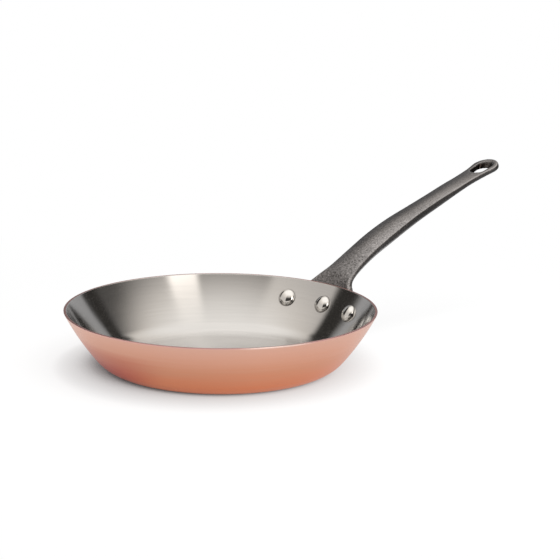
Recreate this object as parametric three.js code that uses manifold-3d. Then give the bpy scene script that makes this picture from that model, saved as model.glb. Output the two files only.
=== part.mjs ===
// Copper frying pan with a bonded steel lining and a riveted cast-iron handle.
// Millimetres, +Z up. The origin is the centre of the base's underside, and the handle points along +X.

import * as THREE from 'three';
import { mergeVertices } from 'three/addons/utils/BufferGeometryUtils.js';
import Module from 'manifold-3d';

const { degToRad, lerp, smoothstep } = THREE.MathUtils;

// Pan
const RIM_RADIUS = 120;
const PAN_HEIGHT = 45;
const BASE_RADIUS = 76.7;
const BASE_FILLET = 25.5;
const FILLET_SWEEP = degToRad(50);
const SHEET_THICKNESS = 2;
const LINING_THICKNESS = 0.25;
const BOND_GAP = 0.05;

// Rivets
const RIVET_PITCH = degToRad(18.7);
const RIVET_DROP = 18;
const SHANK_RADIUS = 3;
const HEAD_RADIUS = 7;
const HEAD_HEIGHT = 3.8;
const HEAD_SEAT = 0.5;
const TAIL_RADIUS = 5.2;
const TAIL_HEIGHT = 2.4;

// Handle: the top line is a chain of arcs that starts at the rim
const FIT_GAP = 0.3;
const FLANGE_THICKNESS = 5;
const FLANGE_DROP = 27.3;
const ROOT_ANGLE = degToRad(72);
const ARM_ARCS = [
  { length: 12.7, endAngle: degToRad(32.4) },
  { length: 86.8, endAngle: degToRad(18.6) },
  { length: 86, endAngle: degToRad(16.3) },
  { length: 25.2, endAngle: degToRad(21.8) },
];
const ROOT_SPREAD = 14;
const LOOP_RADIUS = 12.1;
const LOOP_START = 176;
const SIDE_FLARE = 0.07;
const MOST_FLARE = 0.06;
const ARM_BELLY = 0.6;

// Half-width, thickness and crown of the handle at distances along its top line, measured from the rim
const HANDLE_STATIONS = [
  { at: -FLANGE_DROP, halfWidth: 33, thickness: 4, crown: 0 },
  { at: -25, halfWidth: 40.5, thickness: FLANGE_THICKNESS, crown: 0 },
  { at: -RIVET_DROP, halfWidth: 45, thickness: FLANGE_THICKNESS, crown: 0 },
  { at: -11, halfWidth: 40, thickness: FLANGE_THICKNESS, crown: 0 },
  { at: -5, halfWidth: 28.5, thickness: FLANGE_THICKNESS, crown: 0 },
  { at: 0, halfWidth: 22, thickness: FLANGE_THICKNESS, crown: 0 },
  { at: 4.5, halfWidth: 18.7, thickness: 4.6, crown: 0.2 },
  { at: 11, halfWidth: 16.3, thickness: 4, crown: 0.8 },
  { at: 21, halfWidth: 14.3, thickness: 4.2, crown: 1.4 },
  { at: 40, halfWidth: 12.9, thickness: 4.9, crown: 2 },
  { at: 63, halfWidth: 12.7, thickness: 5.7, crown: 2 },
  { at: 84, halfWidth: 12, thickness: 5.8, crown: 2 },
  { at: 108, halfWidth: 10.4, thickness: 5.7, crown: 1.8 },
  { at: 131, halfWidth: 9.6, thickness: 5.4, crown: 1.6 },
  { at: 155, halfWidth: 9.7, thickness: 4.2, crown: 1.3 },
  { at: 172, halfWidth: 9.4, thickness: 3.9, crown: 1 },
  { at: 188, halfWidth: 10.4, thickness: 3.9, crown: 0.6 },
  { at: 199, halfWidth: LOOP_RADIUS, thickness: 4, crown: 0.4 },
  { at: 211, halfWidth: LOOP_RADIUS, thickness: 4.8, crown: 0.3 },
];

// Hanging hole: two round ends joined by straight sides
const HOLE_INNER_END = { at: 191, radius: 6.1 };
const HOLE_OUTER_END = { at: 198.5, radius: 6.6 };

// Facets
const TURN_SEGMENTS = 72;
const FILLET_STEPS = 5;
const WALL_STEPS = 4;
const HOLE_SEGMENTS = 24;
const DOME_STEPS = 5;
const HANDLE_RINGS = 38;
const LOOP_RINGS = 8;
const RING_CROWDING = 1.4;
const FACE_STEPS = 8;
const MERGE_TOLERANCE = 1e-4;
const DRILL_LENGTH = 40;

// Colours from the photograph
const COPPER = { color: 0xcc8d6b, roughness: 0.35, metalness: 1 };
const BRUSHED_STEEL = { color: 0xc4bfb6, roughness: 0.3, metalness: 1 };
const POLISHED_STEEL = { color: 0xd6d3ce, roughness: 0.12, metalness: 1 };
const CAST_IRON = { color: 0x5f5c59, roughness: 0.5, metalness: 0.9 };

// Solids: meshes are joined and cut as closed bodies
const wasm = await Module();
wasm.setup();

function toSolid(geometry) {
  const bare = geometry.clone();
  bare.deleteAttribute('normal');
  bare.deleteAttribute('uv');
  const merged = mergeVertices(bare, MERGE_TOLERANCE);
  const corners = merged.index.array;
  const triangles = [];
  for (let i = 0; i < corners.length; i += 3) {
    const [a, b, c] = corners.slice(i, i + 3);
    if (a !== b && b !== c && c !== a) {
      triangles.push(a, b, c);
    }
  }
  return new wasm.Manifold(new wasm.Mesh({
    numProp: 3,
    vertProperties: merged.attributes.position.array,
    triVerts: new Uint32Array(triangles),
  }));
}

function toMesh(name, solid, look) {
  const { vertProperties, triVerts } = solid.getMesh();
  const geometry = new THREE.BufferGeometry();
  geometry.setAttribute('position', new THREE.BufferAttribute(vertProperties, 3));
  geometry.setIndex(new THREE.BufferAttribute(triVerts, 1));
  geometry.computeVertexNormals();
  const mesh = new THREE.Mesh(geometry, new THREE.MeshStandardMaterial(look));
  mesh.name = name;
  return mesh;
}

function lathe(profile, segments) {
  return new THREE.LatheGeometry(profile, segments).rotateX(Math.PI / 2);
}

// Pan profile: a flat base, a fillet and a wall arc that is tangent to it and ends at the rim
const filletCentre = new THREE.Vector2(BASE_RADIUS, BASE_FILLET);
const filletEnd = arcPoint(filletCentre, BASE_FILLET, FILLET_SWEEP);
const wallChord = new THREE.Vector2(RIM_RADIUS, PAN_HEIGHT).sub(filletEnd);
const wallTurn = 2 * (wallChord.angle() - FILLET_SWEEP);
const wallRadius = wallChord.length() / (2 * Math.sin(wallTurn / 2));
const rimAngle = FILLET_SWEEP + wallTurn;
const wallCentre = arcPoint(filletEnd, -wallRadius, FILLET_SWEEP);

// A point at a slope angle on an arc that is seen from its centre
function arcPoint(centre, radius, angle) {
  return new THREE.Vector2(centre.x + radius * Math.sin(angle), centre.y - radius * Math.cos(angle));
}

// The slope angle at which the wall surface at a depth below the outside meets the level of the rim
function rimCutAngle(depth) {
  return Math.acos((wallCentre.y - PAN_HEIGHT) / (wallRadius - depth));
}

// The pan's surface at a depth below its outside, from the axis to the rim
function panLine(depth) {
  const line = [new THREE.Vector2(0, depth)];
  for (let i = 0; i <= FILLET_STEPS; i += 1) {
    line.push(arcPoint(filletCentre, BASE_FILLET - depth, FILLET_SWEEP * i / FILLET_STEPS));
  }
  for (let i = 1; i <= WALL_STEPS; i += 1) {
    const angle = lerp(FILLET_SWEEP, rimCutAngle(depth), i / WALL_STEPS);
    line.push(arcPoint(wallCentre, wallRadius - depth, angle));
  }
  return line;
}

function panShell(outerDepth, innerDepth) {
  const profile = [...panLine(outerDepth), ...panLine(innerDepth).reverse()];
  return toSolid(lathe(profile, TURN_SEGMENTS));
}

// Rivets: each stands square to the wall, with its origin on the lining
const rivetAngle = rimAngle - RIVET_DROP / wallRadius;
const rivetTurns = { rivet_left: RIVET_PITCH, rivet_centre: 0, rivet_right: -RIVET_PITCH };

function rivetPlace(turn) {
  const seat = arcPoint(wallCentre, wallRadius - SHEET_THICKNESS, rivetAngle);
  const tilt = new THREE.Matrix4().makeRotationY(-rivetAngle).setPosition(seat.x, 0, seat.y);
  return new THREE.Matrix4().makeRotationZ(turn).multiply(tilt);
}

function rivetHole(turn) {
  const radius = SHANK_RADIUS + FIT_GAP;
  const drill = new THREE.CylinderGeometry(radius, radius, DRILL_LENGTH, HOLE_SEGMENTS);
  drill.rotateX(Math.PI / 2).applyMatrix4(rivetPlace(turn));
  return toSolid(drill);
}

function drilled(solid) {
  return Object.values(rivetTurns).reduce((left, turn) => left.subtract(rivetHole(turn)), solid);
}

// A dome's outline from its edge to the axis, as a quarter of an ellipse
function domeLine(base, radius, height) {
  const line = [];
  for (let i = 0; i <= DOME_STEPS; i += 1) {
    const angle = (Math.PI / 2) * i / DOME_STEPS;
    line.push(new THREE.Vector2(radius * Math.cos(angle), base + height * Math.sin(angle)));
  }
  return line;
}

function rivetSolid() {
  const tailBase = -(SHEET_THICKNESS + FIT_GAP + FLANGE_THICKNESS + FIT_GAP);
  const profile = [
    ...domeLine(tailBase, TAIL_RADIUS, -TAIL_HEIGHT).reverse(),
    new THREE.Vector2(SHANK_RADIUS, tailBase),
    new THREE.Vector2(SHANK_RADIUS, HEAD_SEAT),
    ...domeLine(HEAD_SEAT, HEAD_RADIUS, HEAD_HEIGHT),
  ];
  return toSolid(lathe(profile, HOLE_SEGMENTS));
}

// Handle line: position and slope at a distance along it, with the flange below the rim following the wall
const armLength = ARM_ARCS.reduce((sum, arc) => sum + arc.length, 0);
const armStart = arcPoint(wallCentre, wallRadius + FIT_GAP, rimCutAngle(-FIT_GAP));

function handlePoint(at) {
  if (at <= 0) {
    const angle = rimCutAngle(-FIT_GAP) + at / (wallRadius + FIT_GAP);
    return { point: arcPoint(wallCentre, wallRadius + FIT_GAP, angle), angle };
  }
  const point = armStart.clone();
  let angle = ROOT_ANGLE;
  let left = at;
  for (const arc of ARM_ARCS) {
    const run = Math.min(left, arc.length);
    const end = lerp(angle, arc.endAngle, run / arc.length);
    const middle = (angle + end) / 2;
    const half = (end - angle) / 2;
    const chord = half === 0 ? run : run * Math.sin(half) / half;
    point.add(new THREE.Vector2(Math.cos(middle), Math.sin(middle)).multiplyScalar(chord));
    angle = end;
    left -= run;
  }
  return { point, angle };
}

// A smooth curve through one value of the stations, with each slope taken from the two neighbours
function stationValue(key, at) {
  const last = HANDLE_STATIONS.length - 1;
  const next = HANDLE_STATIONS.findIndex((station) => station.at >= at);
  const i = next < 0 ? last : next;
  if (i === 0 || next < 0) {
    return HANDLE_STATIONS[i][key];
  }
  const slope = (j) => {
    const before = HANDLE_STATIONS[Math.max(j - 1, 0)];
    const after = HANDLE_STATIONS[Math.min(j + 1, last)];
    return (after[key] - before[key]) / (after.at - before.at);
  };
  const start = HANDLE_STATIONS[i - 1];
  const end = HANDLE_STATIONS[i];
  const span = end.at - start.at;
  const t = (at - start.at) / span;
  const lift = (1 + 2 * t) * (1 - t) ** 2 * start[key] + (3 - 2 * t) * t ** 2 * end[key];
  return lift + span * t * (1 - t) * ((1 - t) * slope(i - 1) - t * slope(i));
}

const loopCentre = armLength - LOOP_RADIUS;

function handleHalfWidth(at) {
  if (at <= loopCentre) {
    return stationValue('halfWidth', at);
  }
  return Math.sqrt(LOOP_RADIUS ** 2 - (at - loopCentre) ** 2);
}

// One ring of the handle's surface, square to its line and bent round the pan at the flange
function handleRing(at) {
  const { point, angle } = handlePoint(at);
  const halfWidth = handleHalfWidth(at);
  const thickness = stationValue('thickness', at);
  const crown = stationValue('crown', at) * halfWidth / stationValue('halfWidth', at);
  const onArm = smoothstep(at, 0, ROOT_SPREAD);
  const belly = ARM_BELLY * onArm * (1 - smoothstep(at, LOOP_START, loopCentre));
  const underWidth = halfWidth + Math.min(SIDE_FLARE * thickness, MOST_FLARE * halfWidth);
  const bend = (1 - onArm) / point.x;
  const place = (across, height) => {
    const turn = bend * across;
    const outwards = -height * Math.sin(angle);
    const side = bend === 0 ? across : Math.sin(turn) / bend;
    const sag = bend === 0 ? 0 : (1 - Math.cos(turn)) / bend;
    return new THREE.Vector3(
      point.x - sag + outwards * Math.cos(turn),
      side + outwards * Math.sin(turn),
      point.y + height * Math.cos(angle),
    );
  };
  const ring = [];
  for (let i = 0; i <= FACE_STEPS; i += 1) {
    const t = lerp(-1, 1, i / FACE_STEPS);
    ring.push(place(t * halfWidth, crown * (1 - t * t)));
  }
  for (let i = 0; i <= FACE_STEPS; i += 1) {
    const t = lerp(1, -1, i / FACE_STEPS);
    ring.push(place(t * underWidth, -thickness - belly * (1 - t * t)));
  }
  return ring;
}

// Rings joined into a closed surface, with a strip across each end from the top points to the ones below
function skinRings(rings) {
  const size = rings[0].length;
  const triangles = [];
  const addQuad = (a, b, c, d) => triangles.push(a, b, c, a, c, d);
  for (let k = 0; k + 1 < rings.length; k += 1) {
    for (let i = 0; i < size; i += 1) {
      const a = k * size + i;
      const b = k * size + (i + 1) % size;
      addQuad(a, a + size, b + size, b);
    }
  }
  const lastRing = (rings.length - 1) * size;
  for (let i = 0; i < FACE_STEPS; i += 1) {
    const below = size - 1 - i;
    addQuad(i, i + 1, below - 1, below);
    addQuad(lastRing + i, lastRing + below, lastRing + below - 1, lastRing + i + 1);
  }
  return new THREE.BufferGeometry().setFromPoints(rings.flat()).setIndex(triangles);
}

// The hanging hole's outline, along and across the handle, round its outer end's centre
function hangingHole() {
  const reach = HOLE_OUTER_END.at - HOLE_INNER_END.at;
  const lean = Math.acos((HOLE_OUTER_END.radius - HOLE_INNER_END.radius) / reach);
  const outline = new THREE.Shape();
  outline.absarc(0, 0, HOLE_OUTER_END.radius, lean - Math.PI, Math.PI - lean);
  outline.absarc(-reach, 0, HOLE_INNER_END.radius, Math.PI - lean, Math.PI + lean);
  const cutter = new THREE.ExtrudeGeometry(outline, {
    depth: DRILL_LENGTH,
    bevelEnabled: false,
    curveSegments: HOLE_SEGMENTS,
  });
  const { point, angle } = handlePoint(HOLE_OUTER_END.at);
  const place = new THREE.Matrix4().makeRotationY(-angle).setPosition(point.x, 0, point.y);
  cutter.translate(0, 0, -DRILL_LENGTH / 2).applyMatrix4(place);
  return toSolid(cutter);
}

function handleSolid() {
  const rings = [];
  for (let i = 0; i < HANDLE_RINGS; i += 1) {
    rings.push(handleRing(lerp(-FLANGE_DROP, loopCentre, (i / HANDLE_RINGS) ** RING_CROWDING)));
  }
  for (let i = 0; i < LOOP_RINGS; i += 1) {
    rings.push(handleRing(loopCentre + LOOP_RADIUS * Math.sin((Math.PI / 2) * i / LOOP_RINGS)));
  }
  return drilled(toSolid(skinRings(rings)).subtract(hangingHole()));
}

// Assembly

const pan = new THREE.Group();
const liningDepth = SHEET_THICKNESS - LINING_THICKNESS;
pan.add(toMesh('copper_body', drilled(panShell(0, liningDepth - BOND_GAP)), COPPER));
pan.add(toMesh('steel_lining', drilled(panShell(liningDepth, SHEET_THICKNESS)), BRUSHED_STEEL));
pan.add(toMesh('handle', handleSolid(), CAST_IRON));
for (const [name, turn] of Object.entries(rivetTurns)) {
  const rivet = toMesh(name, rivetSolid(), POLISHED_STEEL);
  rivet.applyMatrix4(rivetPlace(turn));
  pan.add(rivet);
}

export default pan;
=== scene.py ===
"""Copper frying pan: its looks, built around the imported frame."""
import math

import bmesh
import bpy
from mathutils import Matrix, Vector


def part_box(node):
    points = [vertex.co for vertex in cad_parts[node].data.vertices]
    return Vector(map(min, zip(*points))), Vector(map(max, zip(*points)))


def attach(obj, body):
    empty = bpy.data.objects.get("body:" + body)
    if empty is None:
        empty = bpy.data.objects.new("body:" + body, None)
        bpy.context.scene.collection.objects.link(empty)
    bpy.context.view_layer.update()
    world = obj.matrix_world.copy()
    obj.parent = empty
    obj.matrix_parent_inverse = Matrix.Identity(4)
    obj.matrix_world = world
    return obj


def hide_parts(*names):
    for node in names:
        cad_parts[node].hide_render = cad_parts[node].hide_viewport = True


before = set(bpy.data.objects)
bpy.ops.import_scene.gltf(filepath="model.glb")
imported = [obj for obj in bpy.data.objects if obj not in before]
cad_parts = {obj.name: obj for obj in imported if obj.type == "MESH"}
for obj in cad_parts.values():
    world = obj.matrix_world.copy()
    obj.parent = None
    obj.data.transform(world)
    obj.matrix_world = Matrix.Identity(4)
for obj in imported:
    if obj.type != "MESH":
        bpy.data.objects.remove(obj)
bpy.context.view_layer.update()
MM = 0.001

# Pan; its sizes, and those down to the meshes, are in millimetres
RIM_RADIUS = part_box("copper_body")[1].x / MM
PAN_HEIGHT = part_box("copper_body")[1].z / MM
BASE_RADIUS = 76.7
BASE_FILLET = 25.5
FILLET_SWEEP = math.radians(50)
SHEET_THICKNESS = 2.0
LINING_THICKNESS = 0.25
BOND_DEPTH = SHEET_THICKNESS - LINING_THICKNESS
RIM_ROUND = 0.8
COPPER_BOND_ROUND = 0.05
LINING_BOND_ROUND = 0.02
LINING_ROUND = 0.2

# Rivets
RIVET_PITCH = math.radians(18.7)
RIVET_TURNS = {"rivet_left": RIVET_PITCH, "rivet_centre": 0, "rivet_right": -RIVET_PITCH}
RIVET_DROP = 18
SHANK_RADIUS = 3.0
HEAD_RADIUS = 7.0
HEAD_HEIGHT = 3.9
HEAD_EDGE = 0.35
TAIL_RADIUS = 5.2
TAIL_HEIGHT = 2.4
DRILL_LENGTH = 40

# Handle: the top line is a chain of arcs from the rim, each with its length and the slope at its end
FIT_GAP = 0.3
FLANGE_THICKNESS = 5.0
FLANGE_DROP = 27.3
ROOT_ANGLE = math.radians(72)
ARM_ARCS = [
    (12.7, math.radians(32.4)),
    (86.8, math.radians(18.6)),
    (86, math.radians(16.3)),
    (25.2, math.radians(21.8)),
]
ROOT_SPREAD = 14
LOOP_RADIUS = 12.1
LOOP_START = 176

# Small forms of the casting: sideways shifts, rounded edges, flared sides and a fuller underside
ROOT_SHIFT = 1.6
ARM_SHIFT = -0.3
ROOT_EDGE = 1.7
ROOT_EDGE_RUN = (15, 60)
TOP_EDGE = 0.7
FLANGE_EDGE = 1.2
UNDER_EDGE = 2.6
SIDE_FLARE = 0.07
MOST_FLARE = 0.06
ARM_BELLY = 0.6

# Hanging hole: the place along the top line and the radius of each end, then how it is cut
HOLE_INNER_END = (190.2, 6.2)
HOLE_OUTER_END = (199.7, 6.8)
HOLE_SHIFT = -0.6
HOLE_LIP = 0.8
HOLE_LEAN = 1.1
HOLE_MARGIN = 2
HOLE_STEPS = 32

# Distance along the handle's top line from the rim, then half-width, thickness and crown there
HANDLE_STATIONS = [
    (-FLANGE_DROP, 33, 4, 0),
    (-25, 40.5, FLANGE_THICKNESS, 0),
    (-RIVET_DROP, 45, FLANGE_THICKNESS, 0),
    (-11, 40, FLANGE_THICKNESS, 0),
    (-5, 28.5, FLANGE_THICKNESS, 0),
    (0, 22, FLANGE_THICKNESS, 0),
    (4.5, 18.7, 4.6, 0.2),
    (11, 16.3, 4.4, 0.8),
    (21, 14.3, 4.8, 1.4),
    (40, 12.9, 5.5, 2),
    (63, 12.7, 6.3, 2),
    (84, 12, 6.4, 2),
    (108, 10.4, 6.3, 1.8),
    (131, 9.6, 6, 1.6),
    (155, 9.7, 4.8, 1.3),
    (172, 9.4, 4.5, 1),
    (188, 10.4, 4.5, 0.6),
    (199, LOOP_RADIUS, 4.6, 0.4),
    (211, LOOP_RADIUS, 5.4, 0.3),
]
HALF_WIDTH, THICKNESS, CROWN = 1, 2, 3

# Meshes; a profile point this near the axis counts as on it
TURN_SEGMENTS = 288
RIVET_SEGMENTS = 72
HANDLE_STEP = 1.5
LOOP_STEPS = 24
FACE_STEPS = 24
ON_AXIS = 1e-6
SHARP_ANGLE = math.radians(40)
CAST_VOXEL = 0.5
CAST_SMOOTHING = 5
CAST_SOFTENING = 0.5

# Camera, fitted to the photograph; distances are in metres from here on
CAMERA_DISTANCE = 1.6
CAMERA_ELEVATION = math.radians(15.5)
CAMERA_AZIMUTH = math.radians(-41.9)
CAMERA_BEARING = CAMERA_AZIMUTH - math.pi / 2
CAMERA_PAN = math.radians(1.63)
CAMERA_TILT = math.radians(2.35)
CAMERA_ROLL = math.radians(0.655)
CAMERA_LENS = 133.4
CAMERA_SENSOR = 36

# Finishes: a RUN or FADE is the range of metres, height or openness over which a value changes
LINE_DEPTH = 0.02 * MM
# Keeps the radius in the brushed finishes above zero on the axis
AXIS_GUARD = 1e-8

# Steel tones by brushed shade; the pan's floor is lightened as painted light
STEEL_TONES = [
    (0.3, (0.585, 0.575, 0.563)),
    (0.7, (0.64, 0.626, 0.611)),
    (0.9, (0.73, 0.715, 0.70)),
]
STEEL_ROUGHNESS = (0.13, 0.16)
STEEL_LINE_SHARE = 0.6
STEEL_BUMP = 0.05
PAN_FLOOR_RUN = (SHEET_THICKNESS * MM, 3 * SHEET_THICKNESS * MM)
PAN_FLOOR_LIGHTER = 0.42
PAN_FLOOR_ROUGHER = 0.12

# Copper tones by height, from the base at 0 to the rim at 1; the darker, redder tones low down are
# painted shade and painted copper bounce
COPPER_TONES = [
    (0.0, (0.89, 0.27, 0.12)),
    (0.15, (0.77, 0.265, 0.13)),
    (0.5, (0.685, 0.31, 0.19)),
    (0.98, (0.71, 0.41, 0.315)),
    (0.99, (0.74, 0.42, 0.39)),
]
COPPER_ROUGHNESS = (0.34, 0.42)
COPPER_BUMP = 0.1
MOTTLE = 0.1
MOTTLE_FADE = (0.6, 0.9)
# Painted shade: the lower copper on the side towards a bearing is darker and redder
SHADED_SIDE_TINT = (0.75, 0.33, 0.4)
SHADED_SIDE_BEARING = math.radians(153)
SHADED_SIDE_RUN = (0.06, 0.095)
SHADED_SIDE_FADE = (0.2, 0.75)
RIM_EDGE_RUN = (0.97, 0.985)
# A painted highlight on a stretch of the rim edge, which is also glossier there
RIM_GLINT = (0.88, 0.66, 0.59)
RIM_GLINT_BEARING = math.radians(248)
RIM_GLINT_RUN = (0.1155, 0.1192)
RIM_GLINT_GLOSS = 0.4

# Iron tones by shade, from painted shade in hollows at 0 to bare metal, lighter with edge wear and a
# painted highlight, at 1
IRON_TONES = [
    (0.0, (0.03, 0.022, 0.019)),
    (0.2, (0.1, 0.097, 0.096)),
    (0.8, (0.47, 0.45, 0.45)),
    (1.0, (0.66, 0.62, 0.58)),
]
IRON_ROUGHNESS = (0.42, 0.26)
IRON_ROUGHNESS_RUN = (0.124, 0.16)
IRON_BUMP = 0.5
# Painted shade: the iron's tone is lower at the root by the pan than out along the arm
ROOT_SHADE_TONE = (0.41, 0.5)
ROOT_SHADE_TONE_RUN = (0.122, 0.19)
GRAIN_SCALE = 0.75 / MM
GRAIN_STRENGTH = (1.4, 0.6)
GRAIN_RUN = (0.13, 0.25)
GRAIN_DEPTH = 0.25 * MM
PIT_SCALE = 0.3 / MM
PATCH_SCALE = 0.05 / MM
PATCHINESS = 0.12
# Painted shade in hollows and, much darker, inside the hanging hole
HOLLOW_REACH = 18 * MM
HOLLOW_SHADE = -0.6
HOLLOW_RUN = (0.65, 0.93)
HOLE_SHADE = -2.0
HOLE_SHADE_RUN = (0.8, 0.97)
LOOP_RUN = (0.275, 0.285)
# Convex edges are lighter: partly wear, partly a painted highlight, which is strongest at the root
EDGE_REACH = 2.5 * MM
EDGE_WEAR_AND_SHEEN = 0.35
EDGE_RUN = (0.6, 0.95)
ROOT_SHEEN = 1.9
ROOT_SHEEN_RUN = (0.13, 0.155)
WEAR_POLISH = 0.5

# Rivet tones by wear, and the painted shade in the crease round each head
RIVET_TONES = [
    (0.3, (0.74, 0.725, 0.70)),
    (0.7, (0.80, 0.785, 0.76)),
]
RIVET_ROUGHNESS = (0.03, 0.07)
RIVET_WEAR_SCALE = 0.4 / MM
CREASE_SHADE = (0.1, 0.09, 0.08)
CREASE_SHADE_REACH = 2 * MM
CREASE_SHADE_RUN = (0.45, 0.85)

# Floor
FLOOR_SIZE = 12.0
FLOOR_CELLS = 8
FLOOR_CLEAR = (0.2, 0.5)
FLOOR_PAPER = 0.2
FLOOR_BEYOND = 0.17
CONTACT_REACH = 0.032
CONTACT_BEARING = math.radians(50)
CONTACT_TILT = math.radians(36)
# How bright the floor's glow is, a painted shadow, from where the pan hides it to where it lies open
CONTACT_TONES = [
    (0.12, 0), (0.2, 0.11), (0.3, 0.37), (0.4, 0.55), (0.52, 0.65), (0.7, 0.725), (1, 0.84),
]

# Brightness of the studio round the object, by degrees counter-clockwise from the camera's bearing
STUDIO_LOW = [
    (-180, 0.18), (-160, 0.21), (-149, 0.46), (-137, 0.47), (-128, 0.46), (-104, 0.68), (-48, 0.7),
    (-42, 0.05), (19, 0.05), (23, 2.6), (44, 2.6), (48, 0.3), (78, 0.18), (94, 0.09), (111, 0.1),
    (119, 0.1), (131, 0.42), (152, 0.49), (160, 0.44), (180, 0.42),
]
STUDIO_HIGH = [
    (-180, 0.8), (-174, 0.6), (-157, 0.6), (-147, 0.85), (-128, 0.9), (-105, 0.95), (-48, 0.95),
    (-40, 0.72), (18, 0.7), (23, 1.35), (44, 1.35), (50, 1.0), (112, 0.9), (134, 1.0), (170, 1.0),
    (180, 0.8),
]
STUDIO_TOP = (1.27, 1.235, 1.19)
LOW_TINT = (1.0, 0.95, 0.9)
HIGH_TINT = (1.0, 0.94, 0.87)
# The low panels far behind the object are cooler than the rest
BACK_TINT = (0.97, 0.963, 0.97)
BACK_START = 131
# Elevations in degrees between which one part of the studio gives way to the next
LOW_TO_HIGH = (28, 50)
HIGH_TO_TOP = (43, 66)
# Dark flags that stand in the studio, 1 where one covers it; they lean away from the camera
FLAGS = [
    (-180, 0), (-138, 0), (-129, 1), (-109, 1), (-102, 0), (111, 0), (119, 1), (131, 1), (134, 0),
    (180, 0),
]
FLAG_TONE = (0.04, 0.037, 0.034)
FLAG_LEAN = (1.0, 0.7)
FLAG_LEAN_RUN = (0.4, 1)
FLAG_TOPS = (40, 46)
AMBIENT = (0.3, 0.3, 0.3)
SOFTBOX_PLACE = (0.17, -0.52, 1.5)
SOFTBOX_SIZE = 1.3
SOFTBOX_POWER = 19


def lerp(a, b, t):
    return a + (b - a) * t


def smoothstep(x, low, high):
    t = min(max((x - low) / (high - low), 0), 1)
    return t * t * (3 - 2 * t)


# Shapes

def arc_point(centre, radius, angle):
    """A point at a slope angle on an arc that is seen from its centre."""
    return Vector((centre[0] + radius * math.sin(angle), centre[1] - radius * math.cos(angle)))


fillet_centre = Vector((BASE_RADIUS, BASE_FILLET))
fillet_end = arc_point(fillet_centre, BASE_FILLET, FILLET_SWEEP)
wall_chord = Vector((RIM_RADIUS, PAN_HEIGHT)) - fillet_end
wall_turn = 2 * (math.atan2(wall_chord.y, wall_chord.x) - FILLET_SWEEP)
wall_radius = wall_chord.length / (2 * math.sin(wall_turn / 2))
wall_centre = arc_point(fillet_end, -wall_radius, FILLET_SWEEP)
rim_angle = FILLET_SWEEP + wall_turn


def rim_cut_angle(depth, height=PAN_HEIGHT):
    """The slope angle at which the wall surface at a depth below the outside reaches a height."""
    return math.acos((wall_centre.y - height) / (wall_radius - depth))


def pan_line(depth, top=PAN_HEIGHT, base_steps=8, fillet_steps=20, wall_steps=24):
    """The pan's surface at a depth below its outside, from the axis to a height on the wall."""
    line = [Vector((BASE_RADIUS * i / base_steps, depth)) for i in range(base_steps)]
    for i in range(fillet_steps + 1):
        line.append(arc_point(fillet_centre, BASE_FILLET - depth, FILLET_SWEEP * i / fillet_steps))
    for i in range(1, wall_steps + 1):
        angle = lerp(FILLET_SWEEP, rim_cut_angle(depth, top), i / wall_steps)
        line.append(arc_point(wall_centre, wall_radius - depth, angle))
    return line


def piece_from(name, bm):
    """A smooth piece with its normals outwards, from a bmesh that is then freed."""
    bmesh.ops.recalc_face_normals(bm, faces=bm.faces)
    mesh = bpy.data.meshes.new(name)
    bm.to_mesh(mesh)
    bm.free()
    mesh.shade_smooth()
    mesh.set_sharp_from_angle(angle=SHARP_ANGLE)
    piece = bpy.data.objects.new(name, mesh)
    bpy.context.scene.collection.objects.link(piece)
    return piece


def turned(name, profile, segments):
    """A closed solid turned round the Z axis from a profile that starts and ends on the axis."""
    bm = bmesh.new()
    rings = []
    for r, z in profile:
        if r < ON_AXIS:
            rings.append([bm.verts.new((0, 0, z * MM))])
            continue
        ring = []
        for i in range(segments):
            a = 2 * math.pi * i / segments
            ring.append(bm.verts.new((r * math.cos(a) * MM, r * math.sin(a) * MM, z * MM)))
        rings.append(ring)
    for low, high in zip(rings, rings[1:]):
        for i in range(segments):
            j = (i + 1) % segments
            corners = [low[i % len(low)], low[j % len(low)], high[j % len(high)], high[i % len(high)]]
            unique = list(dict.fromkeys(corners))
            if len(unique) > 2:
                bm.faces.new(unique)
    return piece_from(name, bm)


def rounded_rim(outer_depth, inner_depth, outer_round, inner_round, steps=6):
    """The level rim between two depths of the sheet, with both of its edges rounded."""
    outer_top = arc_point(wall_centre, wall_radius - outer_depth, rim_cut_angle(outer_depth))
    inner_top = arc_point(wall_centre, wall_radius - inner_depth, rim_cut_angle(inner_depth))
    slope = rim_cut_angle(outer_depth)
    edge = []
    for corner, radius, side in ((outer_top, outer_round, 1), (inner_top, inner_round, -1)):
        opening = slope if side > 0 else math.pi - slope
        reach = radius / math.tan((math.pi - opening) / 2)
        wall_run = Vector((math.cos(slope), math.sin(slope))) * reach
        start = corner - wall_run
        end = corner - Vector((side * reach, 0))
        turn = []
        for i in range(steps + 1):
            t = i / steps
            turn.append((1 - t) ** 2 * start + 2 * t * (1 - t) * corner + t ** 2 * end)
        edge += turn if side > 0 else turn[::-1]
    return edge


def rivet_place(turn):
    """Where a rivet stands: square to the wall, with its origin on the lining."""
    angle = rim_angle - RIVET_DROP / wall_radius
    seat = arc_point(wall_centre, wall_radius - SHEET_THICKNESS, angle)
    tilt = Matrix.Translation((seat.x * MM, 0, seat.y * MM)) @ Matrix.Rotation(-angle, 4, "Y")
    return Matrix.Rotation(turn, 4, "Z") @ tilt


def handle_point(at):
    """Position in the XZ plane and slope of the handle's top line."""
    radius = wall_radius + FIT_GAP
    if at <= 0:
        angle = rim_cut_angle(-FIT_GAP) + at / radius
        return arc_point(wall_centre, radius, angle), angle
    point = arc_point(wall_centre, radius, rim_cut_angle(-FIT_GAP))
    angle = ROOT_ANGLE
    left = at
    for length, end_angle in ARM_ARCS:
        run = min(left, length)
        end = lerp(angle, end_angle, run / length)
        half = (end - angle) / 2
        chord = run * math.sin(half) / half if half else run
        point += chord * Vector((math.cos(angle + half), math.sin(angle + half)))
        angle = end
        left -= run
    return point, angle


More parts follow.
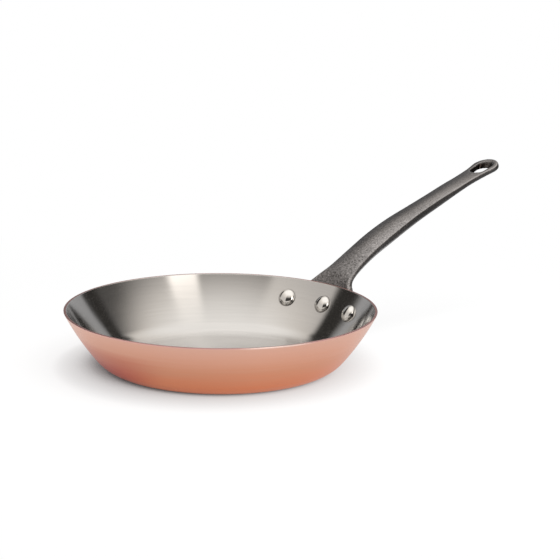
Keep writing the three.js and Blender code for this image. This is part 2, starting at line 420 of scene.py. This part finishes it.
def station_value(key, at):
    """A smooth curve through one value of the stations, with each slope taken from its neighbours."""
    last = len(HANDLE_STATIONS) - 1
    i = next((k for k, station in enumerate(HANDLE_STATIONS) if station[0] >= at), None)
    if i is None or i == 0:
        return HANDLE_STATIONS[last if i is None else 0][key]

    def slope(j):
        before = HANDLE_STATIONS[max(j - 1, 0)]
        after = HANDLE_STATIONS[min(j + 1, last)]
        return (after[key] - before[key]) / (after[0] - before[0])

    start, end = HANDLE_STATIONS[i - 1], HANDLE_STATIONS[i]
    span = end[0] - start[0]
    t = (at - start[0]) / span
    lift = (1 + 2 * t) * (1 - t) ** 2 * start[key] + (3 - 2 * t) * t ** 2 * end[key]
    return lift + span * t * (1 - t) * ((1 - t) * slope(i - 1) - t * slope(i))


arm_length = sum(length for length, angle in ARM_ARCS)
loop_centre = arm_length - LOOP_RADIUS


def handle_ring(at):
    """One ring of the handle's surface, square to its line and bent round the pan at the flange."""
    point, angle = handle_point(at)
    plain_width = station_value(HALF_WIDTH, at)
    half_width = plain_width
    if at > loop_centre:
        half_width = math.sqrt(LOOP_RADIUS ** 2 - (at - loop_centre) ** 2)
    thickness = station_value(THICKNESS, at)
    crown = station_value(CROWN, at) * half_width / plain_width
    on_arm = smoothstep(at, 0, ROOT_SPREAD)
    under_edge = lerp(FLANGE_EDGE, UNDER_EDGE, on_arm)
    top_edge = lerp(ROOT_EDGE, TOP_EDGE, smoothstep(at, *ROOT_EDGE_RUN))
    under_width = half_width + min(SIDE_FLARE * thickness, MOST_FLARE * half_width)
    bend = (1 - on_arm) / point.x
    belly = ARM_BELLY * on_arm * (1 - smoothstep(at, LOOP_START, loop_centre))
    shift = lerp(ROOT_SHIFT, ARM_SHIFT, on_arm)

    def place(across, height):
        turn = bend * (across + shift)
        outwards = -height * math.sin(angle)
        side = math.sin(turn) / bend if bend else across + shift
        sag = (1 - math.cos(turn)) / bend if bend else 0
        x = point.x - sag + outwards * math.cos(turn)
        y = side + outwards * math.sin(turn)
        return Vector((x, y, point.y + height * math.cos(angle))) * MM

    def rounding(t, edge):
        """How far a face drops where it nears the outline, so that the edge comes out round."""
        inset = half_width * (1 - abs(t))
        if at > loop_centre:
            inset = LOOP_RADIUS - math.hypot(at - loop_centre, t * half_width)
        gap = min(max(edge - inset, 0), edge)
        return edge - math.sqrt(edge ** 2 - gap ** 2)

    ring = []
    for i in range(FACE_STEPS + 1):
        t = math.sin(math.pi * (i / FACE_STEPS - 0.5))
        ring.append(place(t * half_width, crown * (1 - t * t) - rounding(t, top_edge)))
    for i in range(FACE_STEPS + 1):
        t = math.sin(math.pi * (0.5 - i / FACE_STEPS))
        ring.append(place(t * under_width, rounding(t, under_edge) - thickness - belly * (1 - t * t)))
    return ring


def handle_rings():
    """Rings from the flange's lower edge to the end of the loop, where they lie closer."""
    rings = []
    count = round((loop_centre + FLANGE_DROP) / HANDLE_STEP)
    for i in range(count):
        rings.append(handle_ring(lerp(-FLANGE_DROP, loop_centre, i / count)))
    for i in range(LOOP_STEPS):
        rings.append(handle_ring(loop_centre + LOOP_RADIUS * math.sin(math.pi / 2 * i / LOOP_STEPS)))
    return rings


def skinned(name, rings):
    """Rings joined into a closed surface, with a strip across each end."""
    bm = bmesh.new()
    verts = [[bm.verts.new(p) for p in ring] for ring in rings]
    size = len(rings[0])
    for low, high in zip(verts, verts[1:]):
        for i in range(size):
            j = (i + 1) % size
            bm.faces.new((low[i], high[i], high[j], low[j]))
    first, last = verts[0], verts[-1]
    for i in range(size // 2 - 1):
        below = size - 1 - i
        bm.faces.new((first[i], first[i + 1], first[below - 1], first[below]))
        bm.faces.new((last[i], last[below], last[below - 1], last[i + 1]))
    return piece_from(name, bm)


def stacked(name, rings):
    """A closed solid over a stack of outlines, with a flat face at each end."""
    bm = bmesh.new()
    verts = [[bm.verts.new(p) for p in ring] for ring in rings]
    bm.faces.new(verts[0][::-1])
    bm.faces.new(verts[-1])
    size = len(rings[0])
    for low, high in zip(verts, verts[1:]):
        for i in range(size):
            j = (i + 1) % size
            bm.faces.new((low[i], low[j], high[j], high[i]))
    return piece_from(name, bm)


def circle_outline(radius, centre=0, start=0, sweep=2 * math.pi, steps=32, closed=True):
    """Points on a circle or, when it isn't closed, on an arc with both of its ends."""
    count = steps if closed else steps + 1
    points = []
    for i in range(count):
        a = start + sweep * i / steps
        points.append((centre + radius * math.cos(a), radius * math.sin(a)))
    return points


def hole_outline(reach, inner_radius, outer_radius):
    """Two arcs, one at each end of the hole, joined by the tangents."""
    lean = math.acos((outer_radius - inner_radius) / reach)
    outline = circle_outline(outer_radius, reach, lean - math.pi, 2 * (math.pi - lean), closed=False)
    return outline + circle_outline(inner_radius, 0, math.pi - lean, 2 * lean, closed=False)


def hanging_hole():
    """A cutter through the loop that widens at both faces, so the hole's edges come out round."""
    (inner_at, inner_radius), (outer_at, outer_radius) = HOLE_INNER_END, HOLE_OUTER_END
    point, angle = handle_point(outer_at)
    place = Matrix.Translation((point.x * MM, 0, point.y * MM)) @ Matrix.Rotation(-angle, 4, "Y")
    thickness = station_value(THICKNESS, outer_at)
    start = inner_at - outer_at
    rings = []
    for i in range(HOLE_STEPS + 1):
        depth = lerp(-thickness - HOLE_MARGIN, HOLE_MARGIN, i / HOLE_STEPS)
        past_middle = abs(depth + thickness / 2)
        gap = min(max(past_middle - thickness / 2 + HOLE_LIP, 0), HOLE_LIP)
        lip = HOLE_LIP - math.sqrt(HOLE_LIP ** 2 - gap ** 2)
        outline = hole_outline(HOLE_LEAN * depth - start, inner_radius + lip, outer_radius + lip)
        rings.append([place @ (Vector((x + start, y + HOLE_SHIFT, depth)) * MM) for x, y in outline])
    return rings


def apply_modifiers(piece):
    """Turns what a piece's modifiers make into its mesh."""
    depsgraph = bpy.context.evaluated_depsgraph_get()
    mesh = bpy.data.meshes.new_from_object(piece.evaluated_get(depsgraph))
    piece.modifiers.clear()
    old = piece.data
    piece.data = mesh
    bpy.data.meshes.remove(old)


def cut(piece, cutters):
    """Cuts each cutter out of a piece and removes the cutter."""
    for cutter in cutters:
        modifier = piece.modifiers.new("cut", "BOOLEAN")
        modifier.operation = "DIFFERENCE"
        modifier.solver = "EXACT"
        modifier.object = cutter
    apply_modifiers(piece)
    for cutter in cutters:
        bpy.data.objects.remove(cutter)


def rivet_drills():
    """Cutters for the rivet holes, a little wider than the shanks."""
    outline = circle_outline(SHANK_RADIUS + FIT_GAP)
    drills = []
    for turn in RIVET_TURNS.values():
        rings = []
        for height in (-DRILL_LENGTH / 2, DRILL_LENGTH / 2):
            rings.append([rivet_place(turn) @ (Vector((x, y, height)) * MM) for x, y in outline])
        drills.append(stacked("drill", rings))
    return drills


def make_copper():
    outer = pan_line(0, PAN_HEIGHT - RIM_ROUND)
    inner = pan_line(BOND_DEPTH)[::-1]
    rim = rounded_rim(0, BOND_DEPTH, RIM_ROUND, COPPER_BOND_ROUND)
    piece = turned("copper_shell", [*outer, *rim, *inner], TURN_SEGMENTS)
    cut(piece, rivet_drills())
    return piece


def make_lining():
    outer = pan_line(BOND_DEPTH)
    inner = pan_line(SHEET_THICKNESS, PAN_HEIGHT - RIM_ROUND)[::-1]
    rim = rounded_rim(BOND_DEPTH, SHEET_THICKNESS, LINING_BOND_ROUND, LINING_ROUND)
    piece = turned("brushed_lining", [*outer, *rim, *inner], TURN_SEGMENTS)
    cut(piece, rivet_drills())
    return piece


def make_handle():
    piece = skinned("cast_handle", handle_rings())
    cut(piece, [stacked("hanging_hole", hanging_hole()), *rivet_drills()])
    remesh = piece.modifiers.new("cast", "REMESH")
    remesh.mode = "VOXEL"
    remesh.voxel_size = CAST_VOXEL * MM
    remesh.use_smooth_shade = True
    soften = piece.modifiers.new("soften", "SMOOTH")
    soften.factor = CAST_SOFTENING
    soften.iterations = CAST_SMOOTHING
    apply_modifiers(piece)
    piece.data.shade_smooth()
    return piece


def dome_line(base, radius, height, steps=24):
    """A dome's outline from its edge to the axis, as a quarter of an ellipse."""
    line = []
    for i in range(steps + 1):
        a = math.pi / 2 * i / steps
        line.append(Vector((radius * math.cos(a), base + height * math.sin(a))))
    line[-1].x = 0
    return line


def make_rivet(name, turn):
    tail_base = -(SHEET_THICKNESS + FIT_GAP + FLANGE_THICKNESS)
    profile = [
        *dome_line(tail_base, TAIL_RADIUS, -TAIL_HEIGHT)[::-1],
        Vector((SHANK_RADIUS, tail_base)),
        Vector((SHANK_RADIUS, 0)),
        Vector((HEAD_RADIUS, 0)),
        *dome_line(HEAD_EDGE, HEAD_RADIUS, HEAD_HEIGHT),
    ]
    piece = turned(name, profile, RIVET_SEGMENTS)
    piece.data.transform(rivet_place(turn))
    return piece


# Materials

def new_material(name, **values):
    material = bpy.data.materials.new(name)
    material.use_nodes = True
    shader = material.node_tree.nodes["Principled BSDF"]
    for socket, value in values.items():
        shader.inputs[socket.replace("_", " ")].default_value = value
    return material, material.node_tree, shader


def math_node(tree, operation, a, b=0.0):
    node = tree.nodes.new("ShaderNodeMath")
    node.operation = operation
    for socket, value in zip(node.inputs, (a, b)):
        if isinstance(value, (int, float)):
            socket.default_value = value
        else:
            tree.links.new(value, socket)
    return node.outputs[0]


def noise(tree, vector, scale=1.0, detail=2.0, roughness=0.5):
    node = tree.nodes.new("ShaderNodeTexNoise")
    node.inputs["Scale"].default_value = scale
    node.inputs["Detail"].default_value = detail
    node.inputs["Roughness"].default_value = roughness
    tree.links.new(vector, node.inputs["Vector"])
    return node.outputs["Fac"]


def ramp(tree, fac, stops):
    node = tree.nodes.new("ShaderNodeValToRGB")
    elements = node.color_ramp.elements
    while len(elements) < len(stops):
        elements.new(0.5)
    for element, (position, colour) in zip(elements, stops):
        element.position = position
        element.color = (*colour, 1)
    tree.links.new(fac, node.inputs["Fac"])
    return node.outputs["Color"]


def mix_colour(tree, fac, a, b, blend="MIX"):
    node = tree.nodes.new("ShaderNodeMix")
    node.data_type = "RGBA"
    node.blend_type = blend
    tree.links.new(fac, node.inputs["Factor"])
    for socket, value in ((node.inputs[6], a), (node.inputs[7], b)):
        if isinstance(value, tuple):
            socket.default_value = (*value, 1)
        else:
            tree.links.new(value, socket)
    return node.outputs[2]


def mapped(tree, value, target, source=(0, 1), interpolation="LINEAR"):
    """Maps a value from one range to another and holds it there."""
    node = tree.nodes.new("ShaderNodeMapRange")
    node.interpolation_type = interpolation
    for name, limit in zip(("From Min", "From Max", "To Min", "To Max"), (*source, *target)):
        node.inputs[name].default_value = limit
    tree.links.new(value, node.inputs["Value"])
    return node.outputs["Result"]


def open_sky(tree, reach, own_only=False, inside=False, facing=None):
    """How open the surface is within a reach: 0 deep in a crease, 1 out in the open."""
    node = tree.nodes.new("ShaderNodeAmbientOcclusion")
    node.only_local = own_only
    node.inside = inside
    node.inputs["Distance"].default_value = reach
    if facing is not None:
        tree.links.new(facing, node.inputs["Normal"])
    return node.outputs["AO"]


def bump(tree, shader, height, strength, distance):
    node = tree.nodes.new("ShaderNodeBump")
    node.inputs["Strength"].default_value = strength
    node.inputs["Distance"].default_value = distance
    tree.links.new(height, node.inputs["Height"])
    tree.links.new(node.outputs["Normal"], shader.inputs["Normal"])


def object_place(tree):
    return tree.nodes.new("ShaderNodeTexCoord").outputs["Object"]


def axes(tree, vector):
    """The X, Y and Z of a vector."""
    split = tree.nodes.new("ShaderNodeSeparateXYZ")
    tree.links.new(vector, split.inputs[0])
    return split.outputs


def turned_vector(tree, rings, arcs):
    """Coordinates that run fast across the rings of a turned surface and slowly round them."""
    x, y, z = axes(tree, object_place(tree))
    square = math_node(tree, "ADD", math_node(tree, "MULTIPLY", x, x), math_node(tree, "MULTIPLY", y, y))
    radius = math_node(tree, "POWER", math_node(tree, "ADD", square, AXIS_GUARD), 0.5)
    along = math_node(tree, "MULTIPLY", math_node(tree, "ADD", radius, z), rings / MM)
    join = tree.nodes.new("ShaderNodeCombineXYZ")
    tree.links.new(along, join.inputs["X"])
    for axis, name in ((x, "Y"), (y, "Z")):
        turn = math_node(tree, "MULTIPLY", math_node(tree, "DIVIDE", axis, radius), arcs)
        tree.links.new(turn, join.inputs[name])
    return join.outputs[0]


def along_bearing(tree, bearing):
    """Metres from the pan's axis towards a bearing."""
    reach = tree.nodes.new("ShaderNodeVectorMath")
    reach.operation = "DOT_PRODUCT"
    tree.links.new(object_place(tree), reach.inputs[0])
    reach.inputs[1].default_value = (math.cos(bearing), math.sin(bearing), 0)
    return reach.outputs["Value"]


def ring_tangent(tree, shader):
    """Brushes a finish round the Z axis."""
    node = tree.nodes.new("ShaderNodeTangent")
    node.direction_type = "RADIAL"
    node.axis = "Z"
    tree.links.new(node.outputs["Tangent"], shader.inputs["Tangent"])


def with_crease_shade(tree, colour):
    """A colour that darkens with painted shade in the crease where a rivet meets the lining."""
    in_crease_shade = mapped(tree, open_sky(tree, CREASE_SHADE_REACH), (1, 0), CREASE_SHADE_RUN)
    return mix_colour(tree, in_crease_shade, colour, CREASE_SHADE)


def steel_material():
    material, tree, shader = new_material(
        "brushed_steel", Metallic=1.0, Anisotropic=1.0, Anisotropic_Rotation=0.25)
    ring_tangent(tree, shader)
    lines = noise(tree, turned_vector(tree, rings=4.0, arcs=2.5), detail=3.0)
    bands = noise(tree, turned_vector(tree, rings=0.45, arcs=2.0))
    z = axes(tree, object_place(tree))["Z"]
    on_floor = mapped(tree, z, (1, 0), PAN_FLOOR_RUN)
    fine_part = math_node(tree, "MULTIPLY", lines, STEEL_LINE_SHARE)
    wide_part = math_node(tree, "MULTIPLY", bands, 1 - STEEL_LINE_SHARE)
    brushed = math_node(tree, "ADD", fine_part, wide_part)
    # The pan's floor is lightened: painted light
    tone = math_node(tree, "ADD", brushed, math_node(tree, "MULTIPLY", on_floor, PAN_FLOOR_LIGHTER))
    # Painted shade darkens the lining in the crease round each rivet
    colour = with_crease_shade(tree, ramp(tree, tone, STEEL_TONES))
    tree.links.new(colour, shader.inputs["Base Color"])
    rougher = math_node(tree, "MULTIPLY", on_floor, PAN_FLOOR_ROUGHER)
    gloss = math_node(tree, "ADD", mapped(tree, bands, STEEL_ROUGHNESS), rougher)
    tree.links.new(gloss, shader.inputs["Roughness"])
    bump(tree, shader, lines, STEEL_BUMP, LINE_DEPTH)
    return material


def copper_material():
    material, tree, shader = new_material(
        "satin_copper", Metallic=1.0, Anisotropic=0.6, Anisotropic_Rotation=0.25)
    ring_tangent(tree, shader)
    lines = noise(tree, turned_vector(tree, rings=4.0, arcs=3.0), detail=3.0)
    bands = noise(tree, turned_vector(tree, rings=0.3, arcs=1.5))
    z = axes(tree, object_place(tree))["Z"]
    height = math_node(tree, "DIVIDE", z, PAN_HEIGHT * MM)
    below_rim = mapped(tree, height, (1, 0), MOTTLE_FADE)
    sway = math_node(tree, "MULTIPLY", mapped(tree, bands, (-MOTTLE, MOTTLE)), below_rim)
    mottled = math_node(tree, "ADD", height, sway)
    # Height tones: painted shade and bounce towards the base
    colour = ramp(tree, mottled, COPPER_TONES)
    # Painted shade, darker and redder low on the side towards a bearing
    on_shaded_side = mapped(tree, along_bearing(tree, SHADED_SIDE_BEARING), (0, 1), SHADED_SIDE_RUN, "SMOOTHSTEP")
    side_shade = math_node(tree, "MULTIPLY", on_shaded_side, mapped(tree, mottled, (1, 0), SHADED_SIDE_FADE))
    colour = mix_colour(tree, side_shade, colour, SHADED_SIDE_TINT, "MULTIPLY")
    # Painted highlight on one stretch of the rim edge, glossier as well
    on_edge = mapped(tree, height, (0, 1), RIM_EDGE_RUN)
    in_stretch = mapped(tree, along_bearing(tree, RIM_GLINT_BEARING), (0, 1), RIM_GLINT_RUN, "SMOOTHSTEP")
    rim_glint = math_node(tree, "MULTIPLY", on_edge, in_stretch)
    colour = mix_colour(tree, rim_glint, colour, RIM_GLINT)
    tree.links.new(colour, shader.inputs["Base Color"])
    satin = mapped(tree, lines, COPPER_ROUGHNESS)
    gloss = math_node(tree, "MULTIPLY", satin, mapped(tree, rim_glint, (1, RIM_GLINT_GLOSS)))
    tree.links.new(gloss, shader.inputs["Roughness"])
    bump(tree, shader, lines, COPPER_BUMP, LINE_DEPTH)
    return material


def iron_material():
    material, tree, shader = new_material("cast_iron", Metallic=1.0)
    place = object_place(tree)
    x = axes(tree, place)["X"]
    grain = noise(tree, place, GRAIN_SCALE, roughness=0.6)
    pits = noise(tree, place, PIT_SCALE)
    patches = noise(tree, place, PATCH_SCALE)
    coarseness = mapped(tree, x, GRAIN_STRENGTH, GRAIN_RUN)
    speckle = math_node(tree, "MULTIPLY", math_node(tree, "SUBTRACT", grain, 0.5), coarseness)
    open_share = open_sky(tree, HOLLOW_REACH, own_only=True)
    # Painted shade in hollows and in the hanging hole
    in_hollow = mapped(tree, open_share, (HOLLOW_SHADE, 0), HOLLOW_RUN)
    in_hole = mapped(tree, open_share, (HOLE_SHADE, 0), HOLE_SHADE_RUN)
    hole_shade = math_node(tree, "MULTIPLY", mapped(tree, x, (0, 1), LOOP_RUN), in_hole)
    # Painted shade near the root
    root_shade_tone = mapped(tree, x, ROOT_SHADE_TONE, ROOT_SHADE_TONE_RUN)
    shaded_tone = math_node(tree, "ADD", math_node(tree, "ADD", root_shade_tone, in_hollow), hole_shade)
    nearness = open_sky(tree, EDGE_REACH, own_only=True, inside=True)
    edges = mapped(tree, nearness, (EDGE_WEAR_AND_SHEEN, 0), EDGE_RUN)
    # Edge wear with a painted highlight, raised at the root
    wear_and_sheen = math_node(tree, "MULTIPLY", edges, mapped(tree, x, (ROOT_SHEEN, 1), ROOT_SHEEN_RUN))
    patches_and_sheen = math_node(tree, "ADD", mapped(tree, patches, (-PATCHINESS, PATCHINESS)), wear_and_sheen)
    shade = math_node(tree, "ADD", math_node(tree, "ADD", speckle, shaded_tone), patches_and_sheen)
    tree.links.new(ramp(tree, shade, IRON_TONES), shader.inputs["Base Color"])
    satin = mapped(tree, x, IRON_ROUGHNESS, IRON_ROUGHNESS_RUN)
    polish = math_node(tree, "MULTIPLY", wear_and_sheen, WEAR_POLISH)
    tree.links.new(math_node(tree, "SUBTRACT", satin, polish), shader.inputs["Roughness"])
    bump(tree, shader, math_node(tree, "ADD", speckle, pits), IRON_BUMP, GRAIN_DEPTH)
    return material


def rivet_material():
    material, tree, shader = new_material("polished_steel", Metallic=1.0)
    wear = noise(tree, object_place(tree), RIVET_WEAR_SCALE, detail=3.0)
    # Painted shade darkens each head where it meets the lining
    colour = with_crease_shade(tree, ramp(tree, wear, RIVET_TONES))
    tree.links.new(colour, shader.inputs["Base Color"])
    tree.links.new(mapped(tree, wear, RIVET_ROUGHNESS), shader.inputs["Roughness"])
    return material


# Pieces

def finish_piece(piece, node, material):
    piece.data.materials.clear()
    piece.data.materials.append(material)
    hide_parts(node)
    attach(piece, "root")


finish_piece(make_copper(), "copper_body", copper_material())
finish_piece(make_lining(), "steel_lining", steel_material())
finish_piece(make_handle(), "handle", iron_material())
rivet_steel = rivet_material()
for rivet_name, rivet_turn in RIVET_TURNS.items():
    rivet = make_rivet("polished_" + rivet_name, rivet_turn)
    finish_piece(rivet, rivet_name, rivet_steel)


# Stage

def ray_kinds(tree):
    """1 on rays from the camera, and 1 on rays from a gloss or through glass."""
    path = tree.nodes.new("ShaderNodeLightPath").outputs
    mirrored = math_node(tree, "MAXIMUM", path["Is Glossy Ray"], path["Is Transmission Ray"])
    return path["Is Camera Ray"], mirrored


def make_floor():
    """A paper floor that glows near the pan, with a painted shadow whose tone follows how much of it the
    pan hides.
    """
    bm = bmesh.new()
    bmesh.ops.create_grid(bm, x_segments=FLOOR_CELLS, y_segments=FLOOR_CELLS, size=FLOOR_SIZE / 2)
    mesh = bpy.data.meshes.new("floor")
    bm.to_mesh(mesh)
    bm.free()
    floor = bpy.data.objects.new("floor", mesh)
    bpy.context.scene.collection.objects.link(floor)
    material, tree, paper = new_material("white_floor", Roughness=0.9, Specular_IOR_Level=0.0)
    paper.inputs["Base Color"].default_value = (*[FLOOR_PAPER] * 3, 1)
    bearing = CAMERA_BEARING + CONTACT_BEARING
    level = math.sin(CONTACT_TILT)
    lean = (level * math.cos(bearing), level * math.sin(bearing), math.cos(CONTACT_TILT))
    towards = tree.nodes.new("ShaderNodeCombineXYZ")
    for socket, value in zip(towards.inputs, lean):
        socket.default_value = value
    closeness = open_sky(tree, CONTACT_REACH, facing=towards.outputs[0])
    tones = [(share, (tone, tone, tone)) for share, tone in CONTACT_TONES]
    # The glow carries a painted shadow; the paper under it takes the softbox's real shadow
    shadow_glow = tree.nodes.new("ShaderNodeEmission")
    tree.links.new(ramp(tree, closeness, tones), shadow_glow.inputs["Color"])
    near = tree.nodes.new("ShaderNodeAddShader")
    tree.links.new(paper.outputs[0], near.inputs[0])
    tree.links.new(shadow_glow.outputs[0], near.inputs[1])
    length = tree.nodes.new("ShaderNodeVectorMath")
    length.operation = "LENGTH"
    tree.links.new(object_place(tree), length.inputs[0])
    far = mapped(tree, length.outputs["Value"], (0, 1), FLOOR_CLEAR, "SMOOTHSTEP")
    camera_ray, mirrored = ray_kinds(tree)
    white = tree.nodes.new("ShaderNodeEmission")
    tree.links.new(mapped(tree, camera_ray, (FLOOR_BEYOND, 1)), white.inputs["Strength"])

    def mix(fac, a, b):
        node = tree.nodes.new("ShaderNodeMixShader")
        tree.links.new(fac, node.inputs[0])
        tree.links.new(a.outputs[0], node.inputs[1])
        tree.links.new(b.outputs[0], node.inputs[2])
        return node

    shown = mix(far, near, white)
    seen = math_node(tree, "MAXIMUM", camera_ray, mirrored)
    floor_shader = mix(seen, paper, shown)
    tree.links.new(floor_shader.outputs[0], tree.nodes["Material Output"].inputs["Surface"])
    mesh.materials.append(material)


def make_world():
    """White behind the object, with the tones of a soft studio round it in reflections."""
    world = bpy.data.worlds.new("studio")
    bpy.context.scene.world = world
    world.use_nodes = True
    tree = world.node_tree
    direction = tree.nodes.new("ShaderNodeTexCoord").outputs["Generated"]
    x, y, z = axes(tree, direction)
    bearing = math_node(tree, "ARCTAN2", y, x)
    turn = math_node(tree, "SUBTRACT", bearing, CAMERA_BEARING - math.pi)
    turn_share = math_node(tree, "FRACT", math_node(tree, "DIVIDE", turn, 2 * math.pi))

    def ring(tones, tint=(1, 1, 1), back_tint=None, share=turn_share):
        stops = []
        for degrees, tone in tones:
            shade = back_tint if back_tint and abs(degrees) >= BACK_START else tint
            stops.append(((degrees + 180) / 360, [tone * part for part in shade]))
        return ramp(tree, share, stops)

    def climb(limits, target=(0, 1)):
        heights = [math.sin(math.radians(limit)) for limit in limits]
        return mapped(tree, z, target, heights, "SMOOTHSTEP")

    low = ring(STUDIO_LOW, LOW_TINT, BACK_TINT)
    high = ring(STUDIO_HIGH, HIGH_TINT)
    walls = mix_colour(tree, climb(LOW_TO_HIGH), low, high)
    bare = mix_colour(tree, climb(HIGH_TO_TOP), walls, STUDIO_TOP)
    off_centre = math_node(tree, "SUBTRACT", turn_share, 0.5)
    leaning = math_node(tree, "MULTIPLY", off_centre, mapped(tree, z, FLAG_LEAN, FLAG_LEAN_RUN))
    flags = ring(FLAGS, share=math_node(tree, "ADD", leaning, 0.5))
    covered = math_node(tree, "MULTIPLY", flags, climb(FLAG_TOPS, (1, 0)))
    studio = mix_colour(tree, covered, bare, FLAG_TONE)
    camera_ray, mirrored = ray_kinds(tree)
    lit = mix_colour(tree, mirrored, AMBIENT, studio)
    shown = mix_colour(tree, camera_ray, lit, (1, 1, 1))
    tree.links.new(shown, tree.nodes["Background"].inputs["Color"])


def make_softbox():
    light = bpy.data.lights.new("softbox", "AREA")
    light.shape = "SQUARE"
    light.size = SOFTBOX_SIZE
    light.energy = SOFTBOX_POWER
    lamp = bpy.data.objects.new("softbox", light)
    lamp.location = SOFTBOX_PLACE
    lamp.rotation_mode = "QUATERNION"
    lamp.rotation_quaternion = (-Vector(SOFTBOX_PLACE)).to_track_quat("-Z", "Y")
    lamp.visible_camera = False
    lamp.visible_glossy = False
    bpy.context.scene.collection.objects.link(lamp)


def make_camera():
    """A camera that looks at the origin and is then turned a little, as in the photograph."""
    back = Vector((
        math.sin(CAMERA_AZIMUTH) * math.cos(CAMERA_ELEVATION),
        -math.cos(CAMERA_AZIMUTH) * math.cos(CAMERA_ELEVATION),
        math.sin(CAMERA_ELEVATION),
    ))
    right = Vector((math.cos(CAMERA_AZIMUTH), math.sin(CAMERA_AZIMUTH), 0))
    up = back.cross(right)
    ahead = (-back + right * math.tan(CAMERA_PAN) + up * math.tan(CAMERA_TILT)).normalized()
    level_right = ahead.cross(Vector((0, 0, 1))).normalized()
    level_up = level_right.cross(ahead)
    side = level_right * math.cos(CAMERA_ROLL) + level_up * math.sin(CAMERA_ROLL)
    top = level_up * math.cos(CAMERA_ROLL) - level_right * math.sin(CAMERA_ROLL)
    data = bpy.data.cameras.new("camera")
    data.sensor_width = CAMERA_SENSOR
    data.lens = CAMERA_LENS
    camera = bpy.data.objects.new("camera", data)
    turn = Matrix((side, top, -ahead)).transposed().to_4x4()
    camera.matrix_world = Matrix.Translation(back * CAMERA_DISTANCE) @ turn
    bpy.context.scene.collection.objects.link(camera)
    bpy.context.scene.camera = camera


make_floor()
make_world()
make_softbox()
make_camera()
bpy.context.scene.view_settings.view_transform = "Standard"
